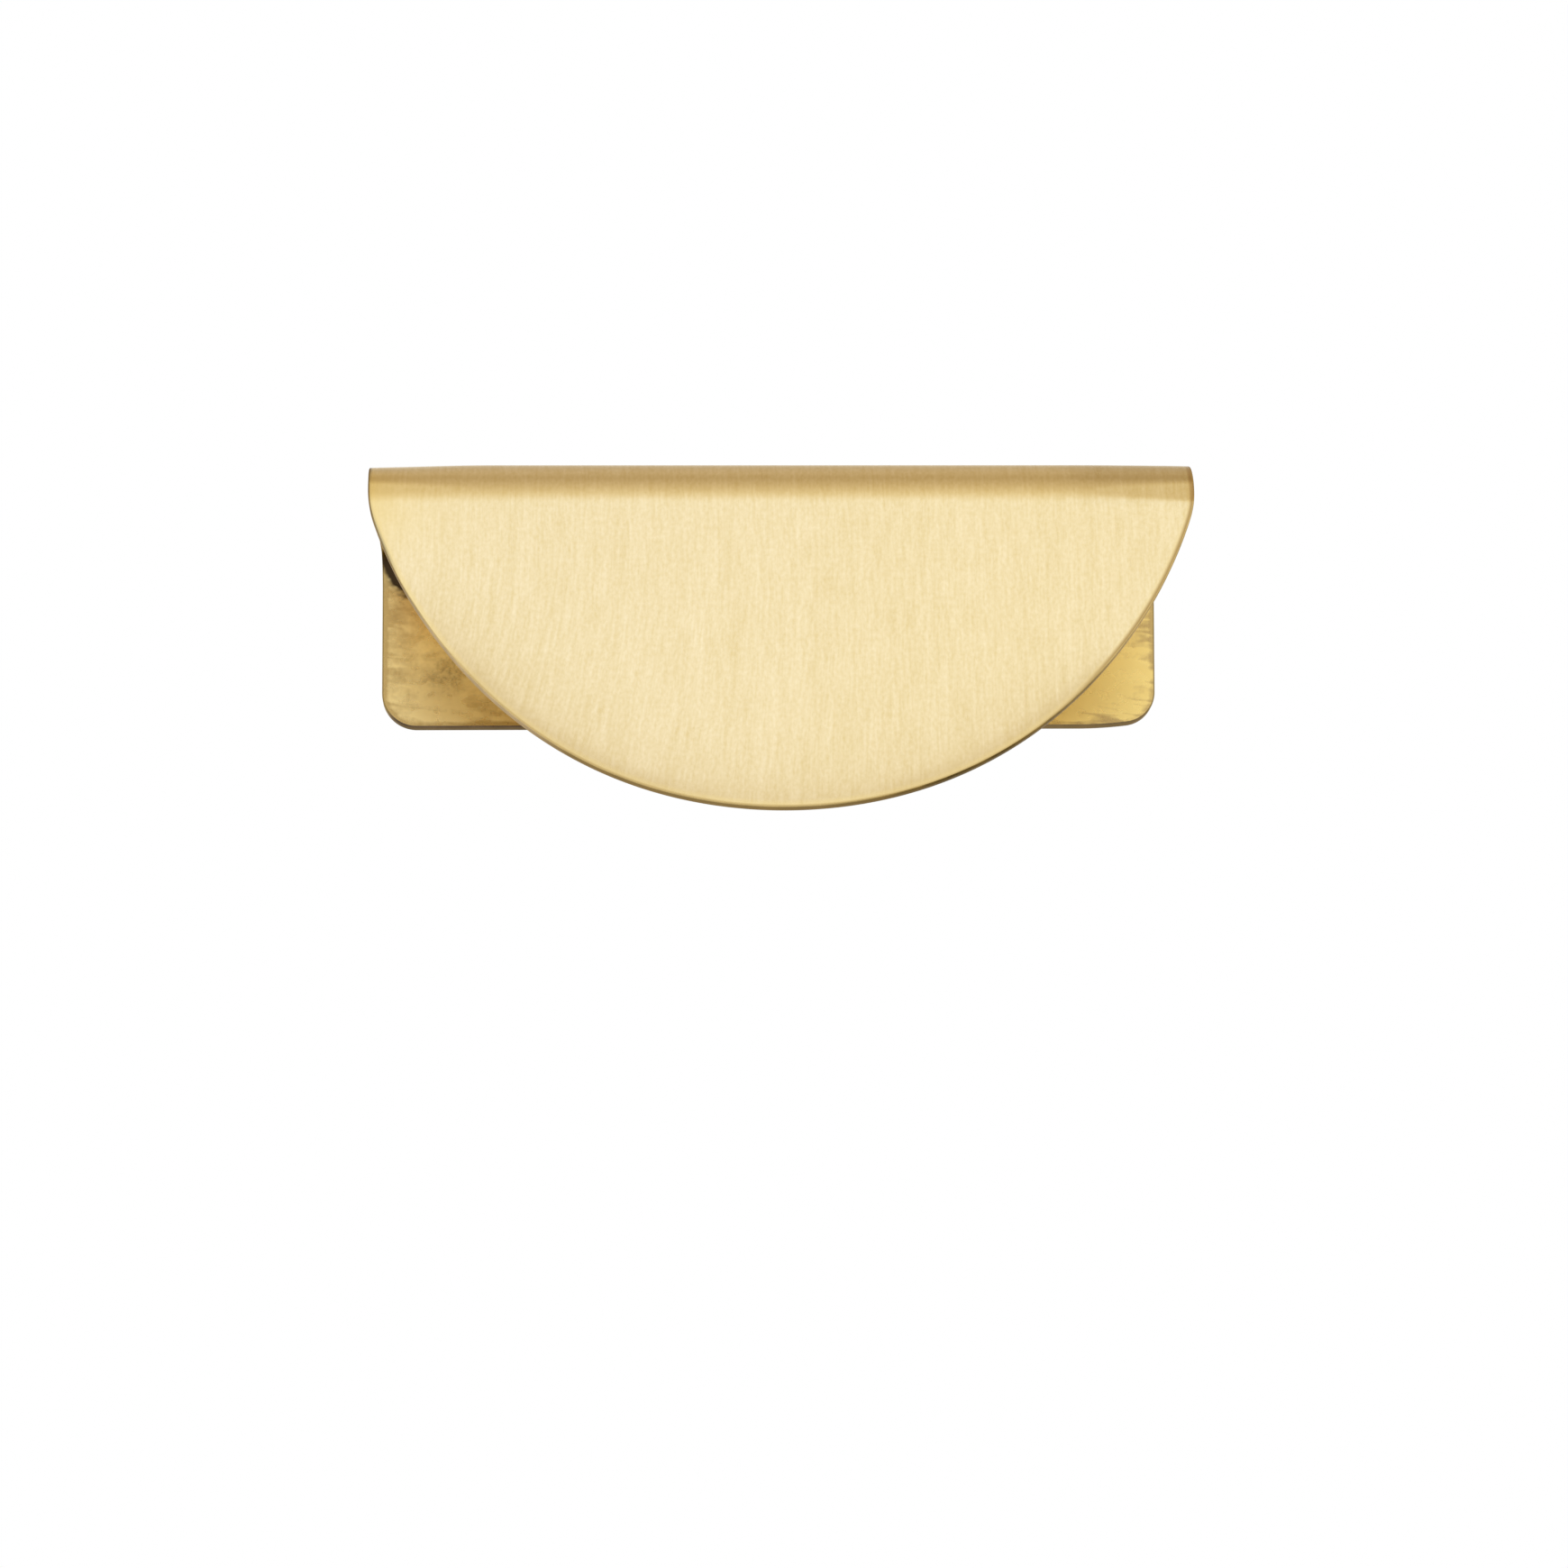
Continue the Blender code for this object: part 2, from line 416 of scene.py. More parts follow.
def outline():
    """The sheet's edge, once round from the middle of the leg's foot, and its outward directions."""
    left = LEFT_CORNER_RADIUS
    right = RIGHT_CORNER_RADIUS
    moon_radius = (SIDE**2 + GRIP_DROP**2) / (2 * GRIP_DROP)
    moon = GRIP_END - moon_radius
    reach = sqrt((moon_radius - SHOULDER_RADIUS) ** 2 - (SIDE - SHOULDER_RADIUS) ** 2)
    shoulder = moon + reach
    turn = atan2(reach, SIDE - SHOULDER_RADIUS)
    rise = FOOT_RISE_RADIUS * (1 - cos(FOOT_RISE_TURN))
    corner = (SIDE - RIGHT_SIDE_LEAN - right, LEG_FOOT + rise + right * cos(FOOT_RISE_TURN))
    corner_start = FOOT_RISE_TURN - pi / 2
    foot_end = corner[0] - (FOOT_RISE_RADIUS - right) * sin(FOOT_RISE_TURN)
    rise_centre = (foot_end, LEG_FOOT + FOOT_RISE_RADIUS)
    lean = atan2(RIGHT_SIDE_LEAN, LEG_TOP - corner[1])
    side_start = (corner[0] + right * cos(lean), corner[1] - right * sin(lean))
    runs = [
        line((0, LEG_FOOT), (foot_end, LEG_FOOT), OUTLINE_STEP),
        arc(rise_centre, FOOT_RISE_RADIUS, -pi / 2, corner_start, SIDE_STEP),
        arc(corner, right, corner_start, -lean, SIDE_STEP),
        line(side_start, (SIDE, LEG_TOP), SIDE_STEP),
        line((SIDE, LEG_TOP), (SIDE, shoulder), SIDE_STEP),
        arc((SIDE - SHOULDER_RADIUS, shoulder), SHOULDER_RADIUS, 0, turn, SIDE_STEP),
        moon_arc((0, moon), moon_radius, turn, pi - turn),
        arc((SHOULDER_RADIUS - SIDE, shoulder), SHOULDER_RADIUS, pi - turn, pi, SIDE_STEP),
        line((-SIDE, shoulder), (-SIDE, LEG_FOOT + left), SIDE_STEP),
        arc((left - SIDE, LEG_FOOT + left), left, pi, 3 * pi / 2, SIDE_STEP),
        line((left - SIDE, LEG_FOOT), (0, LEG_FOOT), OUTLINE_STEP),
    ]
    points = np.concatenate([p for p, _ in runs])
    outward = np.concatenate([n for _, n in runs])
    return points, outward


def inset_of(places, points, outward):
    """How far inside the outline each place lies; the outline is convex, so its nearest tangent tells."""
    inset = np.empty(len(places))
    block = 1000
    for start in range(0, len(places), block):
        part = places[start:start + block, None]
        inset[start:start + block] = ((points[None] - part) * outward[None]).sum(axis=2).min(axis=1)
    return inset


def smooth_step(value, start, end):
    """Rises smoothly from 0 at start to 1 at end; end may lie on either side."""
    share = np.clip((value - start) / (end - start), 0, 1)
    return share * share * (3 - 2 * share)


def end_flat(turn, from_end):
    """How far the flat at a bend's end lies under the round bend, here and in the flat's middle."""
    cut = FLAT_DEPTH * np.clip(1 - from_end / FLAT_LENGTH, 0, 1)
    nearby = np.clip(turn, 0, pi / 2)
    return np.maximum(OUTER_RADIUS - (OUTER_RADIUS - cut) / np.cos(nearby - FLAT_TURN), 0), cut


def bend_depth(across, turn):
    """How far the outer face lies under the round bend, by the turn from the straight grip or leg.
    The right flat has two crisp borders, and the left one fades out into the straight stretch."""
    left = across + SIDE
    right = SIDE - across
    right_flat, _ = end_flat(turn, right)
    left_flat, cut = end_flat(turn, left)
    fading = cut * smooth_step(turn * OUTER_RADIUS, -LEFT_FLAT_FADE, FLAT_TURN * OUTER_RADIUS)
    left_flat = np.where(turn < FLAT_TURN, fading, left_flat)
    droop = LEFT_DROOP * smooth_step(left, DROOP_LENGTH, 0)
    droop = droop + RIGHT_DROOP * smooth_step(right, DROOP_LENGTH, 0)
    return left_flat + right_flat * (turn > 0) + droop * smooth_step(turn, *DROOP_TURN)


def relief(across, along, inset, side):
    """How far a face lies under the plain sheet: less metal by the buffed edge and at the bends' ends."""
    depth = EDGE_BUFFING * np.exp(-(inset - EDGE_ROUND) / EDGE_BUFFING_REACH)
    if side > 0:
        top_middle = (TOP_START + FRONT_BEND) / 2
        to_top = 1 - np.abs(along - top_middle) / (TOP_FLAT / 2)
        front_turn = (GRIP_START - along) / BEND_LENGTH * pi / 2
        rear_turn = (along - LEG_TOP) / BEND_LENGTH * pi / 2
        turn = np.where(along > top_middle, front_turn, rear_turn)
        depth = depth + bend_depth(across, turn) * smooth_step(to_top, TOP_FADE, 0)
    return depth


# Folding


def fold(across, along, above):
    """Bends the flat sheet: straight leg, rear bend, flat top, front bend and straight grip."""
    reach = MID_RADIUS + above
    rear_turn = (along - LEG_TOP) / MID_RADIUS
    front_turn = (along - FRONT_BEND) / MID_RADIUS
    front_centre = -BEND_RADIUS - TOP_FLAT
    stretches = [along <= LEG_TOP, along <= TOP_START, along <= FRONT_BEND, along <= GRIP_START]
    leg_y = SHEET / 2 + above
    rear_y = -BEND_RADIUS + reach * np.cos(rear_turn)
    top_y = -BEND_RADIUS - (along - TOP_START)
    front_y = front_centre - reach * np.sin(front_turn)
    y = np.select(stretches, [leg_y, rear_y, top_y, front_y], front_centre - reach)
    rear_z = LEG_TOP + reach * np.sin(rear_turn)
    front_z = LEG_TOP + reach * np.cos(front_turn)
    z = np.select(stretches, [along, rear_z, LEG_TOP + reach, front_z], LEG_TOP - (along - GRIP_START))
    return np.stack([across, y, z], axis=1)


# The mesh


def picture_place(across, along, band):
    """Where a point of the flat sheet lies on the baked picture."""
    u = PICTURE_MARGIN + (1 - 2 * PICTURE_MARGIN) * (across + SIDE) / (2 * SIDE)
    v = band[0] + (band[1] - band[0]) * (along - LEG_FOOT) / (GRIP_END - LEG_FOOT)
    return np.stack([u, v], axis=1)


class Row:
    """A closed row of points: their numbers, and where each quad's start and end lie on the picture."""

    def __init__(self, numbers, starts, ends):
        self.numbers = numbers
        self.starts = starts
        self.ends = ends


def placed_row(numbers, across, along, band):
    """A closed row that lies on the picture as it does on the flat sheet."""
    places = picture_place(across, along, band)
    return Row(numbers, places, np.roll(places, -1, axis=0))


def ring(centre, radius):
    """Where the points of a circle round a screw hole's middle lie, across and along."""
    turns = np.linspace(0, 2 * pi, HOLE_STEPS, endpoint=False)
    return centre + radius * np.cos(turns), radius * np.sin(turns)


class Sheet:
    """Collects the flat sheet's points and faces. A point is across, along, above and inset, where
    inset is how far it lies from the nearest edge."""

    def __init__(self):
        self.edge, self.outward = outline()
        self.rows = []
        self.count = 0
        self.faces = []
        self.slots = []
        self.corners = []

    def add(self, *columns):
        """Adds points and returns their numbers."""
        size = max(np.size(c) for c in columns)
        self.rows.append(np.stack([np.broadcast_to(c, size) for c in columns], axis=1))
        self.count += size
        return np.arange(self.count - size, self.count)

    def points(self):
        return np.concatenate(self.rows)

    def height(self, across, along, inset, side):
        return side * (SHEET / 2 - relief(across, along, inset, side))

    def face_row(self, inset, side, band):
        """A closed row of points on one face, a little inside the outline."""
        across, along = (self.edge - self.outward * inset).T
        numbers = self.add(across, along, self.height(across, along, inset, side), inset)
        return placed_row(numbers, across, along, band)

    def edge_row(self, inset, share, level):
        """A closed row of points round the sheet's edge. Share runs from 1 at the outer face to -1 at
        the inner one, and level is how far the row has come round the edge."""
        across, along = (self.edge - self.outward * inset).T
        top = self.height(across, along, EDGE_ROUND, 1)
        bottom = self.height(across, along, EDGE_ROUND, -1)
        numbers = self.add(across, along, bottom + (top - bottom) * (share + 1) / 2, 0.0)
        return Row(numbers, *edge_places(len(across), level))

    def hole_row(self, centre, radius, share, band, picture_radius=None):
        """A circle of points round a screw hole; share is 1 at the outer face and -1 at the inner one."""
        numbers = self.add(*ring(centre, radius), share * SHEET / 2, 0.0)
        return placed_row(numbers, *ring(centre, picture_radius or radius), band)

    def bridge(self, first, second, slot):
        """Quads between two closed rows with as many points each."""
        count = len(first.numbers)
        for i in range(count):
            j = (i + 1) % count
            self.faces.append((first.numbers[i], first.numbers[j], second.numbers[j], second.numbers[i]))
            self.corners.append((first.starts[i], first.ends[i], second.ends[i], second.starts[i]))
            self.slots.append(slot)


def edge_section():
    """Inset and share of the rows round the sheet's edge, from the outer face to the inner one."""
    turns = np.linspace(0, pi / 2, ROUND_STEPS + 1)
    upper = [(EDGE_ROUND * (1 - sin(t)), 1 - 2 * EDGE_ROUND / SHEET * (1 - cos(t))) for t in turns]
    lower = [(inset, -share) for inset, share in reversed(upper)]
    return upper + [(0.0, 0.0)] + lower


def edge_places(count, level):
    """Where a row round the edge lies on the baked picture: a few strips, one over the other."""
    per_strip = ceil(count / EDGE_STRIPS)
    number = np.arange(count)
    strip = number // per_strip
    start = (number - strip * per_strip) / per_strip
    pitch = (EDGE_BAND[1] - EDGE_BAND[0]) / EDGE_STRIPS
    v = EDGE_BAND[0] + pitch * (strip + STRIP_GAP + (1 - 2 * STRIP_GAP) * level)
    width = 1 - 2 * PICTURE_MARGIN
    starts = np.stack([PICTURE_MARGIN + width * start, v], axis=1)
    ends = np.stack([PICTURE_MARGIN + width * (start + 1 / per_strip), v], axis=1)
    return starts, ends


def rows_along():
    """Where the grid's rows lie along the sheet: close in the bends and wider apart on the flats."""
    ends = [LEG_FOOT, LEG_TOP, TOP_START, FRONT_BEND, GRIP_START, GRIP_END]
    rows = [ends[0]]
    for start, end in zip(ends, ends[1:]):
        bend = start in (LEG_TOP, FRONT_BEND)
        steps = BEND_STEPS if bend else ceil((end - start) / FLAT_STEP)
        rows += list(np.linspace(start, end, steps + 1)[1:])
    return np.array(rows)


def fill_face(sheet, border, hole_rows, side, slot, band):
    """Fills a face between its border and the rims of the screw holes with triangles on a grid."""
    columns = np.linspace(-SIDE, SIDE, round(2 * SIDE / FLAT_STEP) + 1)
    across, along = (g.ravel() for g in np.meshgrid(columns, rows_along()))
    inset = inset_of(np.stack([across, along], axis=1), sheet.edge, sheet.outward)
    keep = inset > FACE_INSETS[-1] + CLEAR_OF_LOOPS
    known = sheet.points()
    for row, centre in zip(hole_rows, HOLE_PLACES):
        rim = known[row.numbers[0], 0] - centre
        keep &= np.hypot(across - centre, along) > rim + CLEAR_OF_LOOPS
    across, along, inset = across[keep], along[keep], inset[keep]
    grid = sheet.add(across, along, sheet.height(across, along, inset, side), inset)

    loops = [border.numbers] + [row.numbers for row in hole_rows]
    used = np.concatenate(loops + [grid])
    flat = sheet.points()[used, :2]
    edges = []
    start = 0
    loop_of = {}
    for number, loop in enumerate(loops):
        size = len(loop)
        edges += [(start + i, start + (i + 1) % size) for i in range(size)]
        loop_of.update({start + i: number for i in range(size)})
        start += size
    inside = 1
    made = delaunay_2d_cdt([tuple(p) for p in flat / MM], edges, [], inside, MERGE)
    _, _, triangles, origins, _, _ = made
    places = picture_place(flat[:, 0], flat[:, 1], band)
    for triangle in triangles:
        corners = [origins[i][0] for i in triangle]
        around = {loop_of.get(i, 0) for i in corners}
        in_hole = len(around) == 1 and 0 not in around
        if in_hole:
            continue
        if side > 0:
            corners.reverse()
        sheet.faces.append(tuple(used[i] for i in corners))
        sheet.corners.append(tuple(places[i] for i in corners))
        sheet.slots.append(slot)


def cut_hole(sheet, centre):
    """A screw hole's walls. Returns its rim rows on the outer and the inner face."""
    broken = 2 * HOLE_BREAK / SHEET
    cone_start = 1 - broken / 2
    cone_end = 1 - 2 * (HEAD_RADIUS - HOLE_RADIUS) / SHEET
    cone_radius = HEAD_RADIUS - HOLE_BREAK / 2
    outer_rim = sheet.hole_row(centre, HEAD_RADIUS + HOLE_BREAK, 1, OUTER_BAND)
    rows = [outer_rim]
    for i in range(1, BREAK_STEPS + 1):
        share = i / BREAK_STEPS
        radius = HEAD_RADIUS + HOLE_BREAK * (1 - share) - HOLE_BREAK * share * share / 2
        rows.append(sheet.hole_row(centre, radius, 1 - broken * share * share / 2, OUTER_BAND))
    for i in range(1, CONE_STEPS + 1):
        share = i / CONE_STEPS
        radius = cone_radius + (HOLE_RADIUS - cone_radius) * share
        height = cone_start + (cone_end - cone_start) * share
        rows.append(sheet.hole_row(centre, radius, height, OUTER_BAND))
    for first, second in zip(rows, rows[1:]):
        sheet.bridge(second, first, EDGE)

    # The bore starts where the cone ends, and lies on the picture of the inner face
    rows = [placed_row(rows[-1].numbers, *ring(centre, BORE_PICTURE_RADIUS), INNER_BAND)]
    for i in range(BREAK_STEPS + 1):
        share = i / BREAK_STEPS
        radius = HOLE_RADIUS + HOLE_BREAK * share * share
        height = -1 + broken * (1 - share)
        spread = BORE_PICTURE_SHARE + (1 - BORE_PICTURE_SHARE) * share
        picture = BORE_PICTURE_RADIUS + (HOLE_RADIUS + HOLE_BREAK - BORE_PICTURE_RADIUS) * spread
        rows.append(sheet.hole_row(centre, radius, height, INNER_BAND, picture))
    for first, second in zip(rows, rows[1:]):
        sheet.bridge(second, first, EDGE)
    return outer_rim, rows[-1]


def folded_sheet():
    """The whole sheet as one closed mesh."""
    sheet = Sheet()
    holes = [cut_hole(sheet, centre) for centre in HOLE_PLACES]
    outer_rows = [sheet.face_row(inset, 1, OUTER_BAND) for inset in reversed(FACE_INSETS)]
    section = edge_section()
    levels = np.linspace(0, 1, len(section))
    edge_rows = [sheet.edge_row(inset, share, level) for (inset, share), level in zip(section, levels)]
    inner_rows = [sheet.face_row(inset, -1, INNER_BAND) for inset in FACE_INSETS]

    # The rim's first and last rows also close the faces, with their places on the faces' own pictures
    across, along = (sheet.edge - sheet.outward * EDGE_ROUND).T
    outer_border = placed_row(edge_rows[0].numbers, across, along, OUTER_BAND)
    inner_border = placed_row(edge_rows[-1].numbers, across, along, INNER_BAND)
    stretches = (
        (outer_rows + [outer_border], OUTER),
        (edge_rows, EDGE),
        ([inner_border] + inner_rows, INNER),
    )
    for rows, slot in stretches:
        for first, second in zip(rows, rows[1:]):
            sheet.bridge(first, second, slot)
    fill_face(sheet, outer_rows[0], [h[0] for h in holes], 1, OUTER, OUTER_BAND)
    fill_face(sheet, inner_rows[-1], [h[1] for h in holes], -1, INNER, INNER_BAND)
    return sheet


def make_piece(sheet, name):
    """The sheet's mesh, folded, with the places that its materials read."""
    points = sheet.points()
    across, along, above, inset = points.T
    mesh = bpy.data.meshes.new(name)
    faces = [tuple(int(i) for i in face) for face in sheet.faces]
    mesh.from_pydata(fold(across, along, above).tolist(), [], faces)
    mesh.polygons.foreach_set("material_index", sheet.slots)
    mesh.shade_smooth()

    place = mesh.attributes.new("place", "FLOAT_VECTOR", "POINT")
    place.data.foreach_set("vector", (points[:, :3] / MM).astype(np.float32).ravel())
    rim = mesh.attributes.new("rim", "FLOAT", "POINT")
    rim.data.foreach_set("value", (inset / MM).astype(np.float32))
    flat_map = mesh.uv_layers.new(name="flat_pattern")
    loops = np.empty(len(mesh.loops), dtype=np.int64)
    mesh.loops.foreach_get("vertex_index", loops)
    flat_map.data.foreach_set("uv", points[loops, :2].astype(np.float32).ravel())
    picture = mesh.uv_layers.new(name="OFBake")
    corners = np.concatenate([np.array(c) for c in sheet.corners])
    picture.data.foreach_set("uv", corners.astype(np.float32).ravel())
    mesh.update()
    piece = bpy.data.objects.new(name, mesh)
    bpy.context.scene.collection.objects.link(piece)
    return piece


# Materials


def colour4(colour):
    return (*colour, 1.0)


class Finish:
    """A metal's nodes, made one after the other. Places are millimetres on the flat sheet, and a span
    says where a change begins and where it is complete."""

    def __init__(self, name):
        self.material = bpy.data.materials.new(name)
        self.material.use_nodes = True
        self.tree = self.material.node_tree
        self.shader = self.tree.nodes["Principled BSDF"]
        self.shader.inputs["Metallic"].default_value = 1.0

    def node(self, kind, **settings):
        made = self.tree.nodes.new(kind)
        for key, value in settings.items():
            setattr(made, key, value)
        return made

    def feed(self, socket, value):
        """Links an output to the socket, or sets it to a number or colour."""
        if isinstance(value, bpy.types.NodeSocket):
            self.tree.links.new(value, socket)
        else:
            socket.default_value = value

    def math(self, operation, *values):
        made = self.node("ShaderNodeMath", operation=operation)
        for socket, value in zip(made.inputs, values):
            self.feed(socket, value)
        return made.outputs[0]

    def product(self, first, *others):
        """Numbers multiplied together."""
        total = first
        for other in others:
            total = self.math("MULTIPLY", total, other)
        return total

    def vector(self, x, y, z):
        made = self.node("ShaderNodeCombineXYZ")
        for socket, value in zip(made.inputs, (x, y, z)):
            self.feed(socket, value)
        return made.outputs[0]

    def place(self):
        """A point's place on the flat sheet: across, along and above."""
        read = self.node("ShaderNodeAttribute", attribute_name="place")
        parts = self.node("ShaderNodeSeparateXYZ")
        self.feed(parts.inputs[0], read.outputs["Vector"])
        return parts.outputs

    def rim(self):
        """A point's distance from the sheet's edge."""
        return self.node("ShaderNodeAttribute", attribute_name="rim").outputs["Fac"]

    def distance(self, across, along, place):
        """How far a point of the flat sheet lies from a place on it."""
        made = self.node("ShaderNodeVectorMath", operation="DISTANCE")
        self.feed(made.inputs[0], self.vector(across, along, 0.0))
        made.inputs[1].default_value = (*place, 0.0)
        return made.outputs["Value"]

    def noise(self, across, along, fineness, level, detail=2.0, roughness=0.5, distortion=0.0):
        """Noise with as many waves to a millimetre, across and along the sheet, as its fineness says.
        The level is a place above, or a number that sets the noise apart from the others."""
        made = self.node("ShaderNodeTexNoise")
        x = self.math("MULTIPLY", across, fineness[0])
        y = self.math("MULTIPLY", along, fineness[1])
        self.feed(made.inputs["Vector"], self.vector(x, y, level))
        made.inputs["Scale"].default_value = 1.0
        made.inputs["Detail"].default_value = detail
        made.inputs["Roughness"].default_value = roughness
        made.inputs["Distortion"].default_value = distortion
        return made.outputs["Fac"]

    def weighted(self, middle, parts):
        """A number that noises move up and down about a middle."""
        total = middle
        for value, weight in parts:
            shift = self.math("MULTIPLY", self.math("SUBTRACT", value, NOISE_MIDDLE), weight)
            total = self.math("ADD", shift, total)
        return total

    def over(self, value, span, before=0.0, beyond=1.0):
        """A number that changes smoothly over a span, from one before it to another beyond it."""
        made = self.node("ShaderNodeMapRange", interpolation_type="SMOOTHSTEP")
        for socket, number in zip(made.inputs, (value, *span, before, beyond)):
            self.feed(socket, number)
        return made.outputs["Result"]

    def mix(self, share, first, second):
        """The first colour with a share of the second."""
        made = self.node("ShaderNodeMix", data_type="RGBA")
        self.feed(made.inputs["Factor"], share)
        for number, colour in zip(MIX_COLOURS, (first, second)):
            self.feed(made.inputs[number], colour4(colour) if isinstance(colour, tuple) else colour)
        return made.outputs[MIX_RESULT]

    def scaled(self, colour, share):
        """A colour times a number."""
        made = self.node("ShaderNodeVectorMath", operation="SCALE")
        self.feed(made.inputs[0], colour)
        self.feed(made.inputs["Scale"], share)
        return made.outputs[0]

    def tinted(self, colour, share, tint):
        """A colour that a share of a tint dulls."""
        made = self.node("ShaderNodeVectorMath", operation="MULTIPLY")
        self.feed(made.inputs[0], colour)
        self.feed(made.inputs[1], self.mix(share, WHITE, tint))
        return made.outputs[0]

    def upper_right(self, across, along, end):
        """Where the edge is the half moon's upper right one, down to an end along the sheet."""
        right = self.over(across, UPPER_RIGHT_ACROSS)
        below_crest = self.over(along, UPPER_RIGHT_ALONG)
        return self.product(right, below_crest, self.over(along, (end, end - UPPER_RIGHT_FADE)))

    def lower_left(self, across, along):
        """Where the edge is the half moon's lower left one."""
        return self.product(self.over(across, LOWER_LEFT_ACROSS), self.over(along, LOWER_LEFT_ALONG))

    def bottom(self, along):
        """Where the edge is the half moon's bottom one."""
        return self.over(along, BOTTOM_ALONG)

    def left_side(self, across, along):
        """Where the edge is the left one of the front bend or of the grip's top."""
        left = self.over(across, LEFT_SIDE_ACROSS)
        below_top = self.over(along, LEFT_SIDE_TOP)
        return self.product(left, below_top, self.over(along, LEFT_SIDE_BOTTOM))

    def edge_line(self, rim, line, where):
        """The share that a line of another metal has by the sheet's edge, where the edge has the line."""
        span, share = line
        return self.product(self.over(rim, span, share, 0.0), where)

    def tarnish_and_shade(self, across, along, noise):
        """The share of the dark band inside the rear bend: partly patina where no polish got, partly
        painted shade of the bend's hollow. Its border is ragged and climbs towards the sheet's ends."""
        away = self.math("SUBTRACT", SIDE / MM, self.math("ABSOLUTE", across))
        nearness = self.math("EXPONENT", self.math("DIVIDE", away, -TARNISH_AND_SHADE_CLIMB_REACH))
        border = self.math("MULTIPLY_ADD", nearness, TARNISH_AND_SHADE_CLIMB, LEG_TOP / MM - TARNISH_AND_SHADE_BELOW_BEND)
        border = self.weighted(border, ((noise, TARNISH_AND_SHADE_RAGGED),))
        softness = self.over(away, TARNISH_AND_SHADE_SOFT_ENDS, *TARNISH_AND_SHADE_SOFTNESS)
        start = self.math("SUBTRACT", border, softness)
        end = self.math("ADD", border, softness)
        rising = self.over(along, (start, end))
        before_top, past_top = TARNISH_AND_SHADE_END
        falling = self.over(along, (TOP_START / MM + past_top, TOP_START / MM - before_top))
        return self.product(rising, falling)

    def colour(self, value):
        self.feed(self.shader.inputs["Base Color"], value)

    def roughness(self, value):
        self.feed(self.shader.inputs["Roughness"], value)

    def graze(self, colour):
        """The tint of what the metal reflects at a grazing look."""
        self.shader.inputs["Specular Tint"].default_value = colour4(colour)

    def bump(self, height, distance):
        made = self.node("ShaderNodeBump")
        self.feed(made.inputs["Height"], height)
        made.inputs["Distance"].default_value = distance
        made.inputs["Strength"].default_value = 1.0
        self.feed(self.shader.inputs["Normal"], made.outputs[0])

    def brushed_along_sheet(self, amount):
        """The brush ran along the sheet, so its highlights spread across it."""
        self.shader.inputs["Anisotropic"].default_value = amount
        tangent = self.node("ShaderNodeTangent", direction_type="UV_MAP", uv_map="flat_pattern")
        self.feed(self.shader.inputs["Tangent"], tangent.outputs[0])


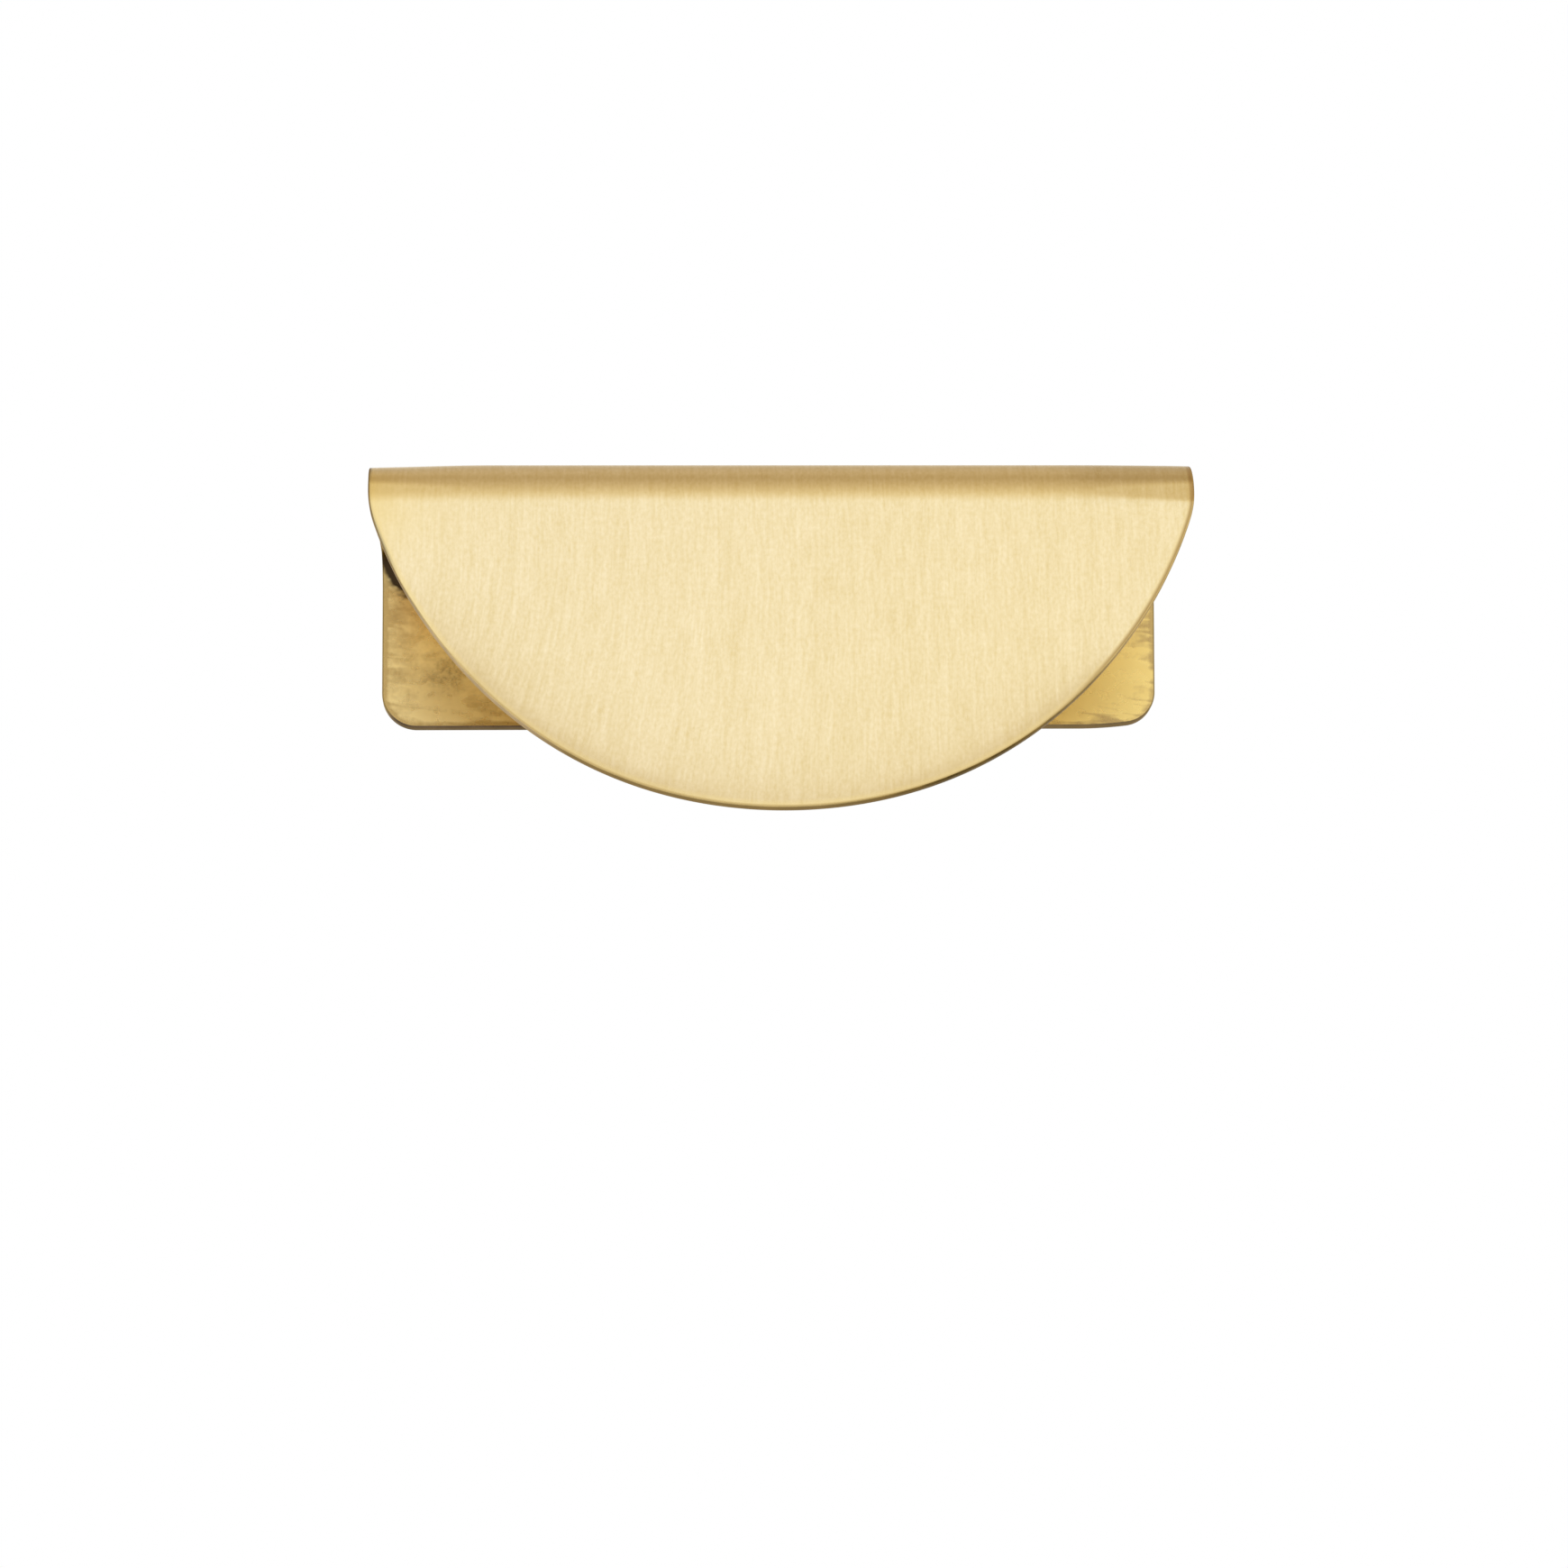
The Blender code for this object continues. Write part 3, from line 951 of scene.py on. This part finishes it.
def brushed_brass():
    """The outer face: long soft streaks along the sheet, short fine ones over them, and a fine grain."""
    made = Finish("brushed_brass")
    across, along, _ = made.place()
    rim = made.rim()
    slope = made.over(across, FAN_ACROSS, 0, FAN_SLOPE)
    fanned = made.math("MULTIPLY_ADD", slope, made.over(along, FAN_ALONG, 0, FAN_LENGTH), across)
    wide = made.noise(fanned, along, WIDE_STREAKS, level=1.0, roughness=STREAK_ROUGHNESS)
    middle = made.noise(fanned, along, MIDDLE_STREAKS, level=2.0, roughness=STREAK_ROUGHNESS)
    fine = made.noise(fanned, along, FINE_STREAKS, level=3.0, roughness=STREAK_ROUGHNESS)
    grain = made.noise(across, along, GRAIN, level=4.0, detail=1.0)
    pale = made.weighted(PALE_SHARE, zip((wide, middle, fine, grain), STREAK_WEIGHTS))
    base = made.mix(pale, DEEP_BRASS, PALE_BRASS)
    base = made.tinted(base, made.over(across, RIGHT_TONE_ACROSS), RIGHT_TONE)

    # Painted shade: the face darkens to a deeper gold towards the grip's lower edge, where it turns down
    # to the darker surroundings
    fading = made.math("EXPONENT", made.math("MULTIPLY", rim, -1 / RIM_REACH))
    slanted = made.math("MULTIPLY_ADD", across, RIM_SHADE_SLANT, along)
    base = made.tinted(base, made.product(fading, made.over(slanted, RIM_SHADE_ALONG)), RIM_SHADE)

    # A fine golden line runs all along the edge. Over it painted shade darkens the edge brown at the half
    # moon's upper right and bottom, and over a wider band on the bottom away from its middle, and a
    # painted reflection makes it olive at the left of the front bend.
    bottom = made.bottom(along)
    bottom_sides = made.product(made.over(made.math("ABSOLUTE", across), SIDES_ACROSS), bottom)
    lines = (
        (GOLDEN_LINE, 1.0, GOLDEN_BRASS),
        (SHADED_EDGE_LINE, made.upper_right(across, along, FACE_UPPER_RIGHT_END), SHADED_EDGE_BRASS),
        (BOTTOM_LINE, bottom, DARK_BRASS),
        (OLIVE_LINE, made.left_side(across, along), OLIVE_BRASS),
        (SIDES_LINE, bottom_sides, DARK_BRASS),
    )
    for line, where, metal in lines:
        base = made.mix(made.edge_line(rim, line, where), base, metal)

    # Painted shade: the right end of the front bend is darker, and brown at its very end
    very_end = made.over(across, BROWN_END_ACROSS, 0, BROWN_END_SHARE)
    base = made.mix(made.product(very_end, made.over(along, BROWN_END_ALONG)), base, BROWN_BRASS)
    shaded_end = made.product(
        made.over(across, SHADED_END_ACROSS),
        made.over(along, SHADED_END_FLAT, SHADED_END_BELOW_FLAT, 1),
        made.over(along, SHADED_END_BOTTOM),
        made.over(along, SHADED_END_TOP),
    )
    base = made.tinted(base, shaded_end, SHADED_END_TONE)

    # The half moon's upper left corner is warmer
    from_left = made.math("ADD", across, SIDE / MM)
    nearness = made.math("EXPONENT", made.math("DIVIDE", from_left, -WARM_END_REACH))
    below_top = made.over(along, WARM_END_TOP, 0, WARM_END_SHARE)
    corner = made.product(nearness, below_top, made.over(along, WARM_END_BOTTOM))
    made.colour(made.mix(corner, base, GOLDEN_BRASS))
    made.roughness(made.weighted(BRUSHED_ROUGHNESS, zip((middle, fine), BRUSHED_GLOSS)))
    made.bump(made.weighted(0.0, zip((middle, fine), BRUSHED_RELIEF)), BRUSHED_DEPTH)
    made.brushed_along_sheet(BRUSHED_SPREAD)
    return made.material


def mottled_brass():
    """The inner face: less finished, with mottling, chatter marks by the edges, and a dark band inside
    the rear bend that is partly patina where no polish got and partly painted shade. Painted shade also
    darkens it along its edge, towards the rear bend and on the foot beside the half moon, and painted
    light brightens the foot. Its tone says how bright it is, and what is duller is browner too."""
    made = Finish("mottled_brass")
    across, along, _ = made.place()
    rim = made.rim()
    blotch = made.noise(across, along, BLOTCHES, level=3.0)
    fine = made.noise(across, along, SPECKS, level=5.0, detail=1.0)
    slanted = made.math("MULTIPLY_ADD", across, CHATTER_SLANT, along)
    chatter = made.noise(across, slanted, CHATTER, level=8.0, detail=1.0, distortion=CHATTER_WAVE)
    at_edge = made.over(across, CHATTER_ACROSS, *CHATTER_AT_EDGE)
    strength = made.over(rim, CHATTER_RIM, at_edge, CHATTER_INSIDE)
    chatter = made.product(made.math("SUBTRACT", chatter, CHATTER_MIDDLE), strength)
    tone = made.math("ADD", chatter, made.weighted(0.0, zip((blotch, fine), MOTTLING)))
    # The grip's back is more even than the leg
    tone = made.product(tone, made.over(along, LEG_TO_GRIP, 1.0, GRIP_MOTTLING))
    # The left end is duller than the rest, and painted light makes the foot a little brighter
    tone = made.math("ADD", tone, made.over(across, LEFT_END_ACROSS, *LEFT_END_TONES))
    tone = made.math("ADD", tone, made.over(along, PAINTED_FOOT_LIGHT_ALONG, 0, PAINTED_FOOT_LIGHT))
    # Painted shade on the foot beside the half moon on the left
    above_foot = made.over(along, FOOT_SHADE_ALONG, 0, FOOT_SHADE_TONE)
    foot_shade = made.product(made.over(across, FOOT_SHADE_LEFT), made.over(across, FOOT_SHADE_RIGHT), above_foot)
    tone = made.math("SUBTRACT", tone, foot_shade)
    # Painted shade: the leg is darker towards its bend, inside the channel under the top
    on_leg = made.over(along, LEG_TO_GRIP, 1.0, GRIP_BEND_SHADE)
    bend_shade = made.over(across, BEND_SHADE_ACROSS, *BEND_SHADE)
    tone = made.math("SUBTRACT", tone, made.product(made.over(along, NEAR_BEND), on_leg, bend_shade))

    # Painted shade darkens the inner face along its edge
    edge = made.edge_line(rim, INNER_LINE, 1.0)
    dark = made.math("MULTIPLY_ADD", made.math("SUBTRACT", 1.0, tone), BROWNING, edge)
    leg_metal = made.mix(made.over(across, YELLOW_ACROSS), INNER_BRASS, YELLOW_BRASS)
    metal = made.mix(made.over(along, BACK_ALONG), leg_metal, BACK_BRASS)
    base = made.mix(dark, metal, DARK_BRASS)
    # A smudge beside the half moon on the left
    away = made.weighted(made.distance(across, along, SMUDGE_PLACE), ((blotch, SMUDGE_RAGGED),))
    smudge = made.over(away, SMUDGE_SPAN, SMUDGE_SHARE, 0.0)
    smudge = made.product(smudge, made.over(fine, SMUDGE_GAPS, SMUDGE_IN_GAPS, 1.0))
    base = made.mix(smudge, base, SMOKE)
    # The dark band inside the rear bend: partly patina, partly painted shade
    made.colour(made.mix(made.tarnish_and_shade(across, along, blotch), base, TARNISH_AND_SHADE))
    made.roughness(made.weighted(MOTTLED_ROUGHNESS, ((blotch, MOTTLED_GLOSS),)))
    made.bump(made.weighted(0.0, zip((blotch, fine, chatter), MOTTLED_RELIEF)), MOTTLED_DEPTH)
    made.graze(INNER_GRAZE)
    made.brushed_along_sheet(MOTTLED_SPREAD)
    return made.material


def cut_brass():
    """The sheet's edge: bright where it rounds over to the outer face, browner with painted shade towards
    the inner one, and darkest and roughest where it was cut, its darkness there partly the cut's own and
    partly painted shade."""
    made = Finish("cut_brass")
    across, along, above = made.place()
    grit = made.noise(across, along, GRIT, level=above, roughness=GRIT_ROUGHNESS)
    blotch = made.noise(across, along, CUT_BLOTCHES, level=6.0)
    rounded = made.over(above, OUTER_ROUND)
    # Painted light on the cut: a painted reflection makes it paler at the half moon's lower left, and
    # painted shade browner at its upper right. Where it rounds over to the outer face it is golden, but
    # painted shade makes it brown at the half moon's lower left, bottom and upper right, and a painted
    # reflection olive at the left of the front bend.
    lower_left = made.lower_left(across, along)
    upper_right = made.upper_right(across, along, CUT_UPPER_RIGHT_END)
    cut = made.mix(upper_right, made.mix(lower_left, CUT_BRASS, PALE_CUT), SHADED_EDGE_BRASS)
    brown = made.math("MAXIMUM", made.math("MAXIMUM", lower_left, upper_right), made.bottom(along))
    outer = made.mix(made.math("MULTIPLY", brown, BROWN_ROUND), GOLDEN_BRASS, DARK_BRASS)
    outer = made.mix(made.left_side(across, along), outer, OLIVE_BRASS)
    # Painted shade browns it towards the inner face
    base = made.mix(made.over(above, INNER_ROUND), made.mix(rounded, cut, outer), INNER_CUT)

    # Painted shade: it is darkest at the half moon's lower right, where it is browner too, and at the
    # leg's foot
    lower_right = made.product(
        made.over(across, LOWER_RIGHT_ACROSS),
        made.over(along, LOWER_RIGHT_ALONG),
        made.over(across, LOWER_RIGHT_END, LOWER_RIGHT_PAST_END, 1),
    )
    foot = made.product(made.over(along, FOOT_ALONG), made.over(across, FOOT_ACROSS, *FOOT_STRENGTHS))
    base = made.mix(made.math("MULTIPLY", foot, FOOT_CUT_SHARE), base, FOOT_CUT)
    moon_dark = made.math("MULTIPLY", lower_right, LOWER_RIGHT_DARK)
    dark = made.math("MAXIMUM", moon_dark, made.math("MULTIPLY", foot, FOOT_DARK))
    tone = made.math("SUBTRACT", made.weighted(1.0, zip((grit, blotch), CUT_MOTTLING)), dark)
    base = made.tinted(made.scaled(base, tone), lower_right, BROWN_TONE)
    # The same dark band runs into the cut edge inside the rear bend: partly patina, partly painted shade
    inside = made.product(made.tarnish_and_shade(across, along, grit), made.over(above, TARNISH_AND_SHADE_ABOVE))
    made.colour(made.mix(inside, base, TARNISH_AND_SHADE))
    polish = made.math("MULTIPLY", rounded, ROUND_POLISH)
    made.roughness(made.math("SUBTRACT", made.weighted(CUT_ROUGHNESS, ((grit, CUT_GLOSS),)), polish))
    made.graze(CUT_GRAZE)
    made.bump(grit, CUT_DEPTH)
    return made.material


# The studio


def seen_or_lit(tree, seen, lit):
    """One number for the camera and for what the metal reflects, and another for the light itself."""
    path = tree.nodes.new("ShaderNodeLightPath")
    total = path.outputs["Is Camera Ray"]
    for name in ("Is Glossy Ray", "Is Transmission Ray"):
        add = tree.nodes.new("ShaderNodeMath")
        add.operation = "MAXIMUM"
        tree.links.new(total, add.inputs[0])
        tree.links.new(path.outputs[name], add.inputs[1])
        total = add.outputs[0]
    strength = tree.nodes.new("ShaderNodeMapRange")
    strength.inputs["To Min"].default_value = lit
    strength.inputs["To Max"].default_value = seen
    tree.links.new(total, strength.inputs["Value"])
    return strength.outputs["Result"]


def make_world():
    """Soft white light all round; the camera and what the metal reflects see plain white."""
    world = bpy.data.worlds.new("studio")
    bpy.context.scene.world = world
    world.use_nodes = True
    tree = world.node_tree
    background = tree.nodes["Background"]
    background.inputs["Color"].default_value = colour4(WHITE)
    tree.links.new(seen_or_lit(tree, 1.0, WORLD_LIGHT), background.inputs["Strength"])


def staged_sheet(name, points, faces, material):
    """A card or floor of the studio, which is no part of the pull."""
    mesh = bpy.data.meshes.new(name)
    mesh.from_pydata([tuple(float(c) for c in p) for p in points], [], faces)
    mesh.materials.append(material)
    card = bpy.data.objects.new(name, mesh)
    bpy.context.scene.collection.objects.link(card)
    return card


def make_floor():
    material = bpy.data.materials.new("studio_floor")
    material.use_nodes = True
    shader = material.node_tree.nodes["Principled BSDF"]
    shader.inputs["Base Color"].default_value = colour4(FLOOR_COLOUR)
    shader.inputs["Roughness"].default_value = FLOOR_ROUGHNESS
    shader.inputs["Specular IOR Level"].default_value = FLOOR_SPECULAR
    shader.inputs["Emission Color"].default_value = colour4(WHITE)
    tree = material.node_tree
    tree.links.new(seen_or_lit(tree, FLOOR_GLOW, 0.0), shader.inputs["Emission Strength"])
    half = FLOOR_SIDE / 2
    corners = [(-half, -half), (half, -half), (half, half), (-half, half)]
    staged_sheet("floor", [(x, y, FLOOR_LEVEL) for x, y in corners], [(0, 1, 2, 3)], material)


def make_ceiling():
    """A curved bright card over the pull, from in front to behind, warm and dimmer overhead."""
    material = bpy.data.materials.new("ceiling_light")
    material.use_nodes = True
    tree = material.node_tree
    tree.nodes.clear()
    output = tree.nodes.new("ShaderNodeOutputMaterial")
    light = tree.nodes.new("ShaderNodeEmission")
    tone = tree.nodes.new("ShaderNodeAttribute")
    tone.attribute_name = "tone"
    tree.links.new(tone.outputs["Color"], light.inputs["Color"])
    tree.links.new(light.outputs[0], output.inputs["Surface"])

    degrees = [d for d, _ in CEILING_TONES]
    rises = np.linspace(degrees[0], degrees[-1], CEILING_STEPS + 1)
    channels = zip(*(tone for _, tone in CEILING_TONES))
    tones = np.stack([np.interp(rises, degrees, channel) for channel in channels], axis=1)
    turns = np.radians(rises)
    points = []
    for x in (-CEILING_WIDTH / 2, CEILING_WIDTH / 2):
        points += [(x, -CEILING_RADIUS * cos(t), CEILING_RADIUS * sin(t)) for t in turns]
    count = len(turns)
    faces = [(i, i + 1, count + i + 1, count + i) for i in range(count - 1)]
    card = staged_sheet("ceiling_card", points, faces, material)
    colours = card.data.attributes.new("tone", "FLOAT_COLOR", "POINT")
    solid = np.column_stack([tones, np.ones(count)])
    colours.data.foreach_set("color", np.concatenate([solid, solid]).astype(np.float32).ravel())
    card.visible_camera = False
    card.visible_diffuse = False
    card.visible_shadow = False


def make_key_light():
    """A soft lamp from the upper left that gives the floor its shadow."""
    lamp = bpy.data.lights.new("key_light", "AREA")
    lamp.shape = "SQUARE"
    lamp.size = KEY_SIDE
    lamp.energy = KEY_POWER
    holder = bpy.data.objects.new("key_light", lamp)
    holder.location = KEY_PLACE
    toward = -holder.location
    holder.rotation_euler = toward.to_track_quat("-Z", "Y").to_euler()
    holder.visible_glossy = False
    bpy.context.scene.collection.objects.link(holder)


def make_camera():
    data = bpy.data.cameras.new("camera")
    data.sensor_width = SENSOR
    data.lens = FOCAL_PIXELS / PHOTO_PIXELS * SENSOR
    camera = bpy.data.objects.new("camera", data)
    bpy.context.scene.collection.objects.link(camera)
    pan = Matrix.Rotation(-CAMERA_PAN, 4, "Z")
    tilt = Matrix.Rotation(pi / 2 + CAMERA_TILT, 4, "X")
    roll = Matrix.Rotation(CAMERA_ROLL, 4, "Z")
    camera.matrix_world = Matrix.Translation(CAMERA_PLACE) @ pan @ tilt @ roll
    bpy.context.scene.camera = camera


def main():
    make_camera()
    make_world()
    make_floor()
    make_ceiling()
    make_key_light()
    bpy.context.scene.view_settings.view_transform = "Standard"

    piece = make_piece(folded_sheet(), "brushed_plate")
    for material in (brushed_brass(), mottled_brass(), cut_brass()):
        piece.data.materials.append(material)
    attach(piece, "root")
    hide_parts(NODE)


main()
